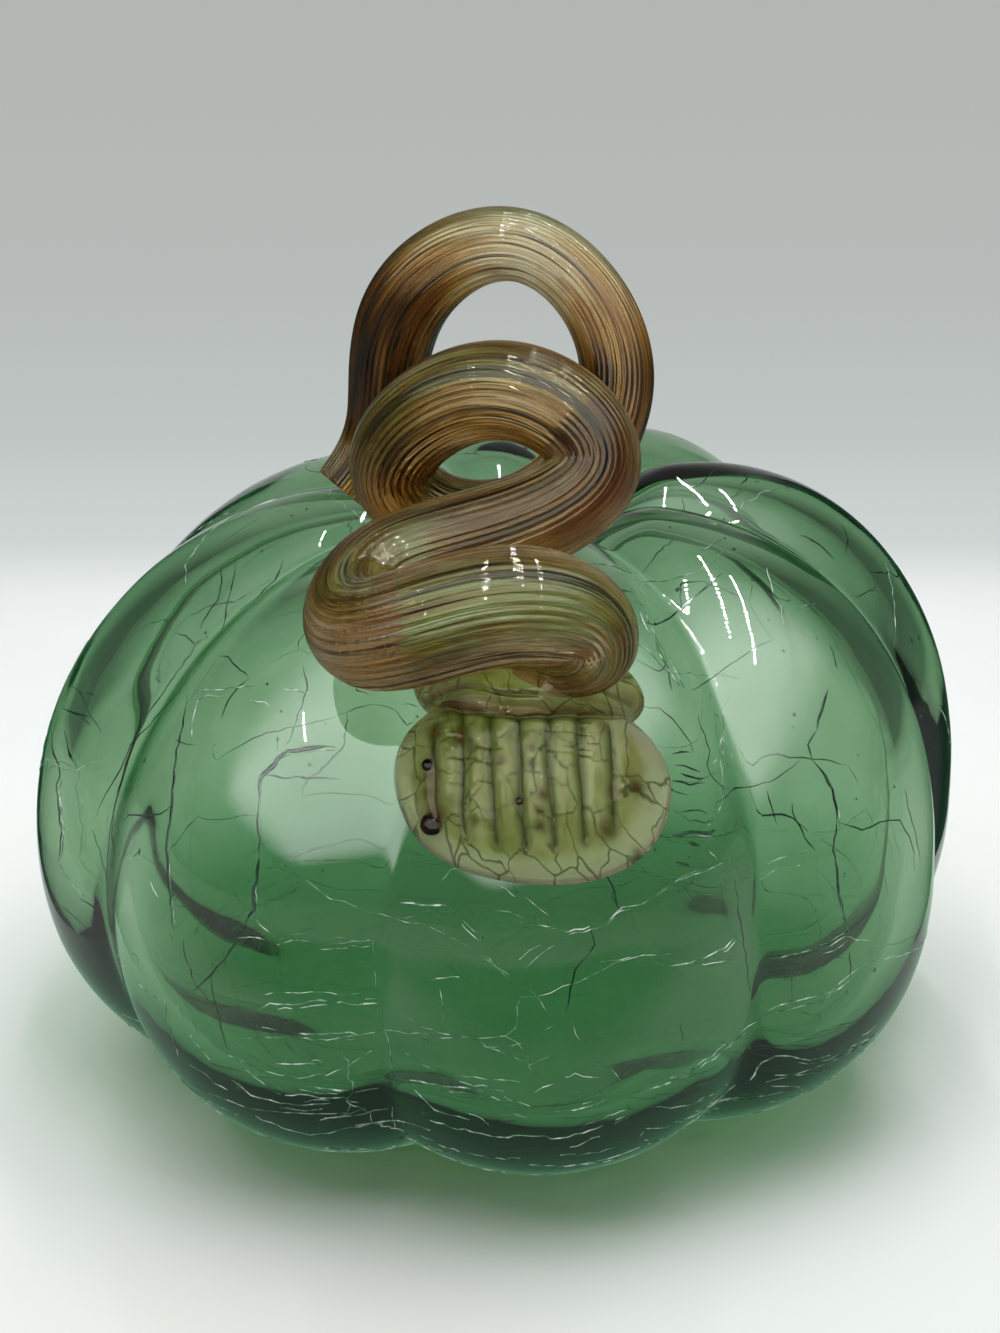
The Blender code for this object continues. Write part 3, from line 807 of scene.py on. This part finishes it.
def pressed_olive_glass():
    """Pale olive glass pressed hot with a ribbed tool: cloudy, brown in the valleys, cream at the rim."""
    mat, add = bare_material("pressed_olive_glass")
    # press is in centimetres across and up the pad, with the depth of the rib valleys
    press = add("Attribute", {"attribute_name": "press"}).outputs["Vector"]
    place = add("SeparateXYZ", _0=press)
    # fold holds the share of rim, of painted shade in the creases and along the join, and of burn
    fold = add("Attribute", {"attribute_name": "fold"}).outputs["Vector"]
    parts = add("SeparateXYZ", _0=fold)
    # soft patches about 6 mm across, and stains about 2 mm wide
    patch = add("TexNoise", {"Scale": 10.0 / 6.0, "Detail": 3.0}, Vector=press)
    fine = add("TexNoise", {"Scale": 10.0 / 2.0, "Detail": 4.0}, Vector=press)
    cloudy = add("ValToRGB", {"stops": (
        (0.30, "#a89f58"), (0.5, "#d3c688"), (0.68, "#f0e5b6"))}, _0=patch)
    strong = add("MapRange", {"span": (0.32, 0.6)}, _0=fine)
    brown = add("ValToRGB", {"stops": (
        (0.0, "#434d1c"), (0.45, "#332f0e"), (1.0, "#2a1604"))}, _0=strong)
    ribbed = add("Mix", {"data_type": "RGBA"}, _0=place.outputs["Z"], _6=cloudy, _7=brown)
    # healed cracks, bent cells about 5 mm across
    bend = add("TexNoise", {"Scale": 10.0 / 4.0, "Detail": 2.0}, Vector=press)
    flat = add("Mapping", {"Scale": (1.0, 1.0, 0.0)}, Vector=press)
    warped = add("VectorMath", {"operation": "MULTIPLY_ADD", 1: (0.35, 0.35, 0.0)},
                 _0=bend.outputs["Color"], _2=flat)
    cells = add("TexVoronoi", {"feature": "DISTANCE_TO_EDGE", "Scale": 10.0 / 5.0}, Vector=warped)
    line = add("MapRange", {"span": (0.008, 0.030, 0.75, 0.0)}, _0=cells)
    colour = ribbed.outputs[2]
    # over that: a cream rim, painted dark green shade in the creases and along the join, brown burns and dark
    # crack lines
    for share, code in ((parts.outputs["X"], "#f7ecd0"), (parts.outputs["Y"], "#1f3119"),
                        (parts.outputs["Z"], "#602f08"), (line, "#1f2a0e")):
        colour = add("Mix", {"data_type": "RGBA", 7: linear(code)}, _0=share, _6=colour).outputs[2]
    # the tool left the ribs duller than the rim and the neck
    dull = add("Attribute", {"attribute_name": "dull"})
    rough = add("MapRange", {"To Min": 0.04, "To Max": 0.22}, _0=dull.outputs["Fac"])
    glass = add("BsdfPrincipled", {
        "IOR": 1.5, "Transmission Weight": 0.80, "Specular IOR Level": 0.07,
        "Specular Tint": linear("#b0b0a4")}, Base__Color=colour, Roughness=rough)
    add("OutputMaterial", Surface=clear_in_shadow(add, glass, "#b5b684"))
    return mat


def on_pad(a, b, h):
    """A point of the pad from millimetres across, up and out of the shell's skin under it."""
    flat = STEM_SEAT + (PAD_ACROSS * a + PAD_UP * b) * MM
    hit = shell_tree.ray_cast(Vector(flat + PAD_OUT * 0.05), Vector(-PAD_OUT))[0]
    return np.array(hit) + PAD_OUT * h * MM


def pad_height(a, b):
    """Height of pad and neck over the shell in mm, then shares of valley, neck, crease, join and rim."""
    da, db = a - PAD_CENTRE[0], b - PAD_CENTRE[1]
    flat = abs(da / PAD_WIDE) ** PAD_POWER + abs(db / (PAD_LOW if db < 0 else PAD_HIGH)) ** PAD_POWER
    flat **= 1 / PAD_POWER
    pad = PAD_THICK * math.sqrt(max(0.0, 1.0 - flat ** 3.2))
    na, nb = (a - NECK_CENTRE[0]) / NECK_WIDE, (b - NECK_CENTRE[1]) / NECK_HIGH
    lump = noise.noise(Vector((a / 6.0, b / 4.0, 2.0)))
    round_ = math.hypot(na, nb)
    neck = NECK_THICK * math.sqrt(max(0.0, 1.0 - round_ ** 2.4)) * (1.0 + 0.14 * lump)
    sway = 1.6 * noise.noise(Vector((a / 8.0, 4.0, b / 14.0))) + 0.08 * a
    crease = max(0.0, math.cos(math.tau * (b + sway - 1.2) / CREASE_PITCH)) ** 8 * ease((neck - 2.0) / 2.0)
    crease *= ease(0.55 + 0.9 * noise.noise(Vector((a / 7.0, b / 9.0, 8.0))))
    neck -= CREASE_DEPTH * crease
    share = ease((neck - pad + 0.6) / 1.2)
    rib = a + RIB_SLANT * b + 0.9 + 0.35 * noise.noise(Vector((a / 5.0, b / 6.0, 5.0)))
    valley = (1.0 - abs(math.sin(math.pi * rib / RIB_PITCH))) ** 1.2
    valley *= ease((0.86 - flat) / 0.14) * (1.0 - share)
    step = 0.16 * math.floor(2.0 * noise.noise(Vector((round(rib / RIB_PITCH) * 3.7, b / 4.0, 1.0))) + 0.5)
    height = max(pad, neck) - RIB_DEPTH * valley * min(1.0, pad / 3.0)
    rough = step * ease((0.8 - flat) / 0.1) * (1.0 - share) + 0.16 * noise.noise(Vector((a, b, 3.0)) / 2.2)
    height += rough * min(1.0, max(pad, neck) / 3.0)
    join = math.exp(-((pad - neck) / 0.9) ** 2) * min(1.0, pad / 4.0)
    rim = ease((flat - 0.80) / 0.10) * (1.0 - share)
    return max(0.0, height - JOIN_DEPTH * join), valley, share, crease * share, join, rim


def stem_pad():
    """The pressed pad with its ribs, and the folded neck above it, closed against the shell's skin."""
    rings, spokes = PAD_RINGS, PAD_SPOKES
    verts, press, fold, dull = [], [], [], []
    angle = np.arange(spokes) / spokes * math.tau
    reach = []
    for t in angle:
        far = 0.0
        for (ca, cb), wide, low, high, power in (
                (PAD_CENTRE, PAD_WIDE, PAD_LOW, PAD_HIGH, PAD_POWER),
                (NECK_CENTRE, NECK_WIDE, NECK_HIGH, NECK_HIGH, 2.0)):
            near, out = 0.0, 45.0
            for _ in range(40):
                mid = (near + out) / 2
                da, db = mid * math.cos(t) - ca, PAD_MIDDLE + mid * math.sin(t) - cb
                inside = abs(da / wide) ** power + abs(db / (low if db < 0 else high)) ** power < 1.0
                near, out = (mid, out) if inside else (near, mid)
            far = max(far, near)
        reach.append(far)
    for i in range(rings):
        rho = math.sin(math.pi / 2 * (i + 0.5) / (rings - 0.5)) ** 0.9
        for t, far in zip(angle, reach):
            a, b = rho * far * math.cos(t), PAD_MIDDLE + rho * far * math.sin(t)
            h, valley, share, crease, join, rim = pad_height(a, b)
            if i == rings - 1:
                h = 0.0
            verts.append(on_pad(a, b, h + PAD_LIFT))
            amber = max([depth * math.exp(-((a - x) ** 2 + (b - y) ** 2) / r ** 2)
                         for x, y, r, depth in BURNS])
            amber = max(amber, 0.85 * join * ease(0.5 + noise.noise(Vector((a / 3.0, b / 3.0, 6.0)))))
            press.append(((a + RIB_SLANT * b) / 10.0, b / 10.0, valley))
            # the fold's middle share is painted shade, in the neck's creases and along its join to the pad
            fold.append((rim, max(0.85 * crease, 0.2 * join), amber))
            dull.append((1.0 - share) * (1.0 - rim))
    # the underside goes on from the rim, back to the middle
    for i in range(1, UNDER_ROWS + 1):
        rho = 1.0 - i / (UNDER_ROWS + 1)
        for t, far in zip(angle, reach):
            verts.append(on_pad(rho * far * math.cos(t), PAD_MIDDLE + rho * far * math.sin(t), PAD_LIFT))
    verts.append(on_pad(0.0, PAD_MIDDLE, PAD_LIFT))
    tip = len(verts) - 1
    last = tip - spokes
    faces = ring_faces(rings + UNDER_ROWS, spokes).tolist()
    faces += [(last + j, tip, last + (j + 1) % spokes) for j in range(spokes)]
    faces.append(tuple(range(spokes))[::-1])
    ob = mesh_piece("pad_glass", verts, faces, pressed_olive_glass())
    for name, rows in (("press", press), ("fold", fold), ("dull", dull)):
        rows = np.array(rows)
        full = np.zeros((len(verts),) + rows.shape[1:])
        full[:len(rows)] = rows
        mark(ob, name, full)
    return facing_out(ob)


def pad_bubbles(mat):
    """Burst bubbles in the pad: low domes with a sunk ring round them."""
    verts, faces = [], []
    for a, b, r in BUBBLES:
        top = pad_height(a, b)[0]
        start = len(verts)
        centre = on_pad(a, b, top + PAD_LIFT)
        for rho, h in BUBBLE_SHAPE:
            for j in range(BUBBLE_SIDES):
                t = math.tau * j / BUBBLE_SIDES
                verts.append(centre + (PAD_ACROSS * math.cos(t) * rho * r + PAD_UP * math.sin(t) * rho * r
                                       + PAD_OUT * h * r) * MM)
        faces += capped_rings(len(BUBBLE_SHAPE), BUBBLE_SIDES, start)
    return facing_out(mesh_piece("pad_bubbles", verts, faces, mat))


def lightbox():
    """White card sweep under and behind the piece, seen by the camera as the photograph's soft grey."""
    mat, add = bare_material("white_card")
    place = add("NewGeometry")
    axes = add("SeparateXYZ", _0=place.outputs["Position"])
    # the wall glows with painted light: pale at its foot, greyer up it, dimmer to its sides and top
    rise = add("MapRange", {"span": WALL_FADE}, _0=axes.outputs["Z"])
    wall = add("ValToRGB", {"stops": (
        (0.0, "#e4e8e7"), (0.06, "#d1d8d6"), (0.25, "#bfc6c4"), (0.5, "#b7bcba"), (1.0, "#b1b6b2"))},
        _0=rise)
    back = add("MapRange", {"span": FLOOR_FADE}, _0=axes.outputs["Y"])
    floor = add("ValToRGB", {"stops": ((0.0, "#e4e9e4"), (1.0, "#eceeed"))}, _0=back)
    path = add("LightPath")
    within = add("Math", {"operation": "MAXIMUM"},
                 _0=path.outputs["Is Glossy Ray"], _1=path.outputs["Is Transmission Ray"])
    seen = add("Math", {"operation": "MAXIMUM"}, _0=within, _1=path.outputs["Is Camera Ray"])
    upright = add("MapRange", {"span": BEND_FADE}, _0=axes.outputs["Z"])
    share = add("Math", {"operation": "MULTIPLY"}, _0=seen, _1=upright)
    card = add("BsdfDiffuse", _0=floor)
    aside = add("Math", {"operation": "ABSOLUTE"}, _0=axes.outputs["X"])
    near = add("MapRange", {"span": SIDE_DIM}, _0=aside)
    under = add("MapRange", {"span": TOP_DIM}, _0=axes.outputs["Z"])
    lit = add("Math", {"operation": "MULTIPLY"}, _0=near, _1=under)
    glow = add("Emission", Color=wall, Strength=lit)
    # gloss and glass see the floor mostly unshaded: pale round the piece, with a painted bottle green shadow
    # under it
    away = add("VectorMath", {"operation": "LENGTH"}, _0=place.outputs["Position"])
    clear_of_painted_shadow = add("MapRange", {"span": SHADOW_PAINT_FADE}, _0=away.outputs["Value"])
    floor_with_painted_shadow = add("Mix", {"data_type": "RGBA", 6: linear("#78bb93")}, _0=clear_of_painted_shadow, _7=floor)
    pale = add("Emission", {"Strength": FLOOR_GLOW}, Color=floor_with_painted_shadow.outputs[2])
    through = add("Math", {"operation": "MULTIPLY", 1: FLOOR_SHARE}, _0=within)
    lying = add("MixShader", _0=through, _1=card, _2=pale)
    front = add("MixShader", _0=share, _1=lying, _2=glow)
    clear = add("BsdfTransparent")
    both = add("MixShader", _0=place.outputs["Backfacing"], _1=front, _2=clear)
    add("OutputMaterial", Surface=both)
    line = [(SWEEP_FRONT, 0.0), (-1.2, 0.0), (-0.3, 0.0), (0.0, 0.0), (SWEEP_WALL - SWEEP_BEND, 0.0)]
    for i in range(1, BEND_STEPS + 1):
        a = math.pi / 2 * i / BEND_STEPS
        line.append((SWEEP_WALL - SWEEP_BEND * (1.0 - math.sin(a)), SWEEP_BEND * (1.0 - math.cos(a))))
    line += [(SWEEP_WALL, 0.3), (SWEEP_WALL, SWEEP_TOP)]
    verts = [(x, y, z) for y, z in line for x in (-SWEEP_HALF, SWEEP_HALF)]
    faces = [(2 * i, 2 * i + 1, 2 * i + 3, 2 * i + 2) for i in range(len(line) - 1)]
    mesh_piece("card_sweep", verts, faces, mat)


def soft_card(name, centre, across, up, kind, settings, longer=1.0):
    """A studio card that fades out at its edges: only mirror reflections see it, and it lights nothing."""
    mat, add = bare_material(name)
    edge = add("Attribute", {"attribute_name": "edge"})
    sides = add("SeparateXYZ", _0=edge.outputs["Vector"])
    fades = []
    for axis in "XY":
        far = add("Math", {"operation": "ABSOLUTE"}, _0=sides.outputs[axis])
        soft = {"interpolation_type": "SMOOTHSTEP", "span": CARD_DIM}
        fades.append(add("MapRange", soft, _0=far))
    fade = add("Math", {"operation": "MULTIPLY"}, _0=fades[0], _1=fades[1])
    face = add(kind, settings)
    clear = add("BsdfTransparent")
    both = add("MixShader", _0=fade, _1=clear, _2=face)
    add("OutputMaterial", Surface=both)
    mat.cycles.emission_sampling = "NONE"
    # two halves meet at the centre line, the nearer one longer by the given factor
    corners = [(u, v) for v in (-1, 0, 1) for u in (-1, 1)]
    verts = [np.array(centre) + np.array(across) * u + np.array(up) * v * (longer if v < 0 else 1.0)
             for u, v in corners]
    card = mesh_piece(name, verts, [(0, 1, 3, 2), (2, 3, 5, 4)], mat)
    mark(card, "edge", [(u, v, 0.0) for u, v in corners])
    card.visible_camera = card.visible_diffuse = card.visible_shadow = card.visible_transmission = False


def tent_cards():
    """The tent's bright roof, and dark cards round the piece that give the glass its dark edges."""
    glow = {"Color": linear("#f6faf7"), "Strength": ROOF_GLOW}
    soft_card("roof_cloth", (-0.20, -0.48, 0.43), (0.92, 0.23, 0), (0, 0.52, 0), "Emission", glow, 3.0)
    # the dark green of the flags is painted: dark reflections at the sides, and on the floor in front a
    # painted green shadow
    dark, dim = {"Color": linear("#37604a")}, {"Color": linear("#44705a")}
    for name, centre, across, up, shade in (
            ("left_flag", (-0.108, 0.12, 0.05), (0, 0.16, 0), (0, 0, 0.15), dark),
            ("right_flag", (0.108, 0.12, 0.05), (0, 0.16, 0), (0, 0, 0.15), dark),
            ("front_flag", (0.0, -0.21, 0.0015), (0.22, 0, 0), (0, 0.12, 0), dim)):
        soft_card(name, centre, across, up, "BsdfDiffuse", shade)


def lamps():
    """Rows of small lamps under a soft white panel overhead, in a dim room that is darkest at the sides."""
    rows = [(x + aside * i, y - LAMP_STEP * i) for x, y, aside, count in LAMP_ROWS for i in range(count)]
    spots = [("row_lamp", (x, y, LAMP_HEIGHT), LAMP_SIZE, LAMP_WATTS) for x, y in rows]
    for name, place, (wide, deep), power in spots + [("panel", PANEL_PLACE, PANEL_SIZE, PANEL_WATTS)]:
        data = bpy.data.lights.new(name, "AREA")
        data.shape = "RECTANGLE"
        data.size = wide
        data.size_y = deep
        data.energy = power
        lamp = bpy.data.objects.new(name, data)
        lamp.location = place
        # gloss sees the lenses and the roof cloth instead
        lamp.visible_glossy = lamp.visible_transmission = False
        bpy.context.scene.collection.objects.link(lamp)
    mat, add = bare_material("lamp_lens")
    bright = add("Emission", {"Color": linear("#fbfdfb"), "Strength": LENS_GLOW})
    add("OutputMaterial", Surface=bright)
    mat.cycles.emission_sampling = "NONE"
    verts = [(x + u * LENS_HALF[0], y + v * LENS_HALF[1], LENS_HEIGHT) for x, y in rows
             for u, v in ((-1, -1), (-1, 1), (1, 1), (1, -1))]
    lenses = mesh_piece("lamp_lenses", verts, [range(4 * i, 4 * i + 4) for i in range(len(rows))], mat)
    lenses.visible_camera = lenses.visible_diffuse = False
    lenses.visible_shadow = lenses.visible_transmission = False
    world = bpy.data.worlds.new("dim_room")
    world.use_nodes = True
    bpy.context.scene.world = world
    world.node_tree.nodes.clear()
    add = partial(node, world.node_tree)
    look = add("TexCoord")
    axes = add("SeparateXYZ", _0=look.outputs["Generated"])
    aside = add("Math", {"operation": "ABSOLUTE"}, _0=axes.outputs["X"])
    level = add("MapRange", {"span": ROOM_DIM}, _0=aside)
    room = add("Background", {"Color": linear("#f2f5f4")}, Strength=level)
    add("OutputWorld", Surface=room)


def camera():
    """The photograph's view: about half a metre away, looking down 22 degrees."""
    data = bpy.data.cameras.new("photo_view")
    data.sensor_width = 36.0
    data.lens = LENS_PIXELS * data.sensor_width / FRAME_HIGH
    ob = bpy.data.objects.new("photo_view", data)
    ob.location = EYE
    ob.rotation_euler = (math.pi / 2 - LOOK_DOWN, 0.0, 0.0)
    bpy.context.scene.collection.objects.link(ob)
    bpy.context.scene.camera = ob


camera()
lightbox()
tent_cards()
lamps()

body_glass = shell_glass()
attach(body_glass, "root")
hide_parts("body_shell")

# A fracture fused shut again, seen edge-on, with the dark reflection of its faces painted in: a wet, nearly
# black green line, lighter in patches every 3 mm or so
crack_painted_dark = mottled("crack_edge_painted_dark", 3.0, ((0.40, "#0d1b13"), (0.62, "#2f5640")),
                       {"Roughness": 0.12, "IOR": 1.5})
# A fracture that stayed open a hair, its glints painted in: rough pale lips that scatter the light, with
# painted silver glints about 2 mm long
crack_painted_glints = mottled("crack_lips_painted_glints", 2.0, ((0.40, "#3f6b4c"), (0.52, "#93bb9f"), (0.60, "#f6fbf7")),
                     {"Roughness": 0.3, "IOR": 1.5})
# Air in the glass, bright above and dark below: each bubble, about 4 mm from the next, has its own tint
air_seed = mottled("air_seed", 4.0, ((0.35, "#7fae8e"), (0.65, "#e8f4ea")),
                   {"Roughness": 0.06, "IOR": 1.5, "Transmission Weight": 1.0})
chance = random.Random(11)
lines = front_lines(chance) + back_lines(chance)
dark_lines = [line for line in lines if line[0] in "Dd"]
pale_lines = [line for line in lines if line[0] in "Wwh"]
for piece in (crack_lips("dark_cracks", dark_lines, crack_painted_dark, DARK_PROUD, chance),
              crack_lips("silver_cracks", pale_lines, crack_painted_glints, PALE_PROUD, chance),
              seed_bubbles(air_seed, chance)):
    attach(piece, "root")

rod = stem_rod()
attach(rod, "root")
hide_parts("stem_curl")

pad = stem_pad()
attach(pad, "root")
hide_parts("stem_pad")

# Bubbles burst at the skin: almost black, glossy, mottled about every millimetre
bubbles = pad_bubbles(mottled("near_black_bubble_glass", 1.0, ((0.4, "#0b0806"), (0.7, "#2a1608")),
                              {"Roughness": 0.06, "IOR": 1.5, "Specular IOR Level": 0.12}))
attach(bubbles, "root")

scene = bpy.context.scene
scene.view_settings.view_transform = "Standard"
scene.cycles.max_bounces = 32
scene.cycles.transmission_bounces = 28
scene.cycles.glossy_bounces = 28
scene.cycles.transparent_max_bounces = 32
scene.cycles.caustics_refractive = False
scene.cycles.caustics_reflective = False
